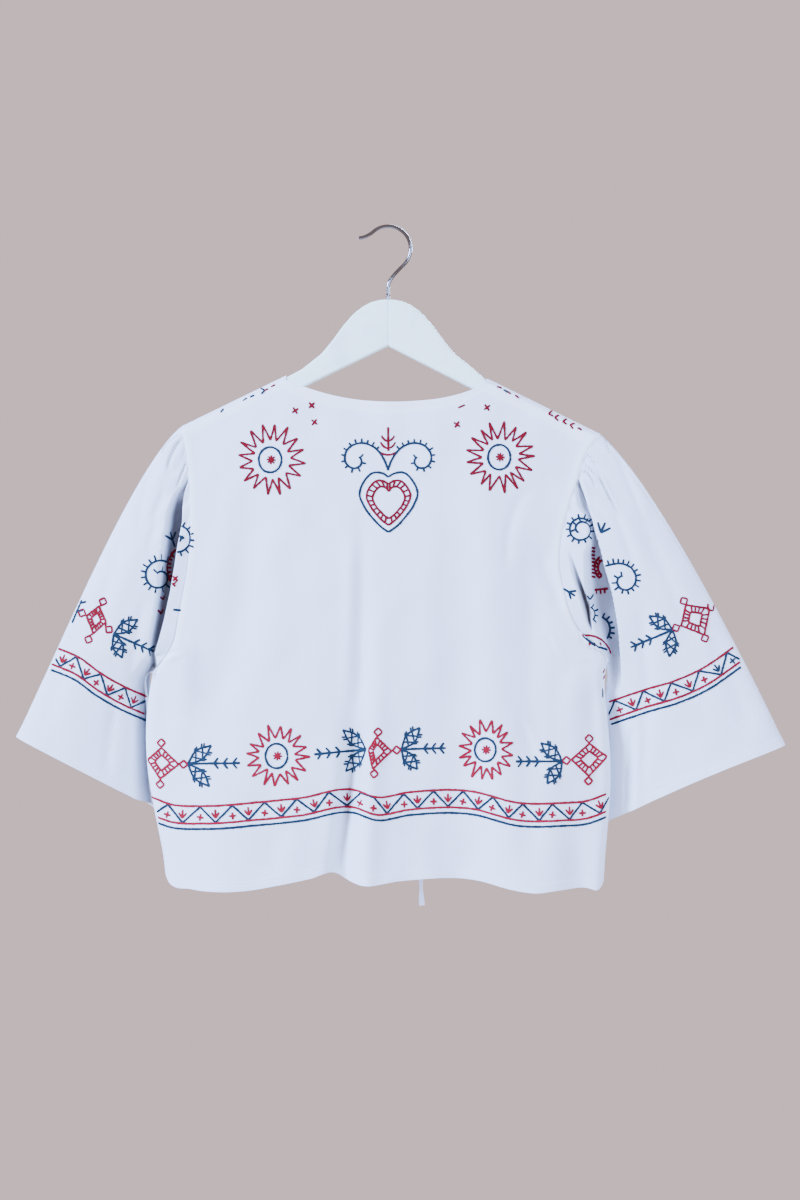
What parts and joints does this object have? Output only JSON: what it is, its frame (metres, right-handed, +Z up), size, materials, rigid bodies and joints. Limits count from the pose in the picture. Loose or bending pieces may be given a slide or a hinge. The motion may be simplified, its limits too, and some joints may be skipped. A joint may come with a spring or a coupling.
{
  "type": "cropped blouse on a hanger",
  "caption": "White cropped blouse with gathered half sleeves and folk embroidery, hung on a wooden hanger with a wire hook.",
  "frame": {"origin": "inner crest of the hanger's hook, where a rail bears", "axes": "+X to the right as seen from the back of the blouse, +Y from its back to its front, +Z up"},
  "size_m": [0.7915, 0.0799, 0.7019],
  "materials": {
    "cotton": "plain woven white cotton",
    "lacquer": "white lacquered wood",
    "steel": "bright chromed wire"
  },
  "bodies": {
    "root": {"back": "cotton", "front_left": "cotton", "front_right": "cotton", "sleeve_left": "cotton", "sleeve_right": "cotton", "hanger_left": "lacquer", "hanger_right": "lacquer", "hook": "steel", "tie_knot": "cotton", "tie_left": "cotton", "tie_right": "cotton"}
  },
  "joints": []
}
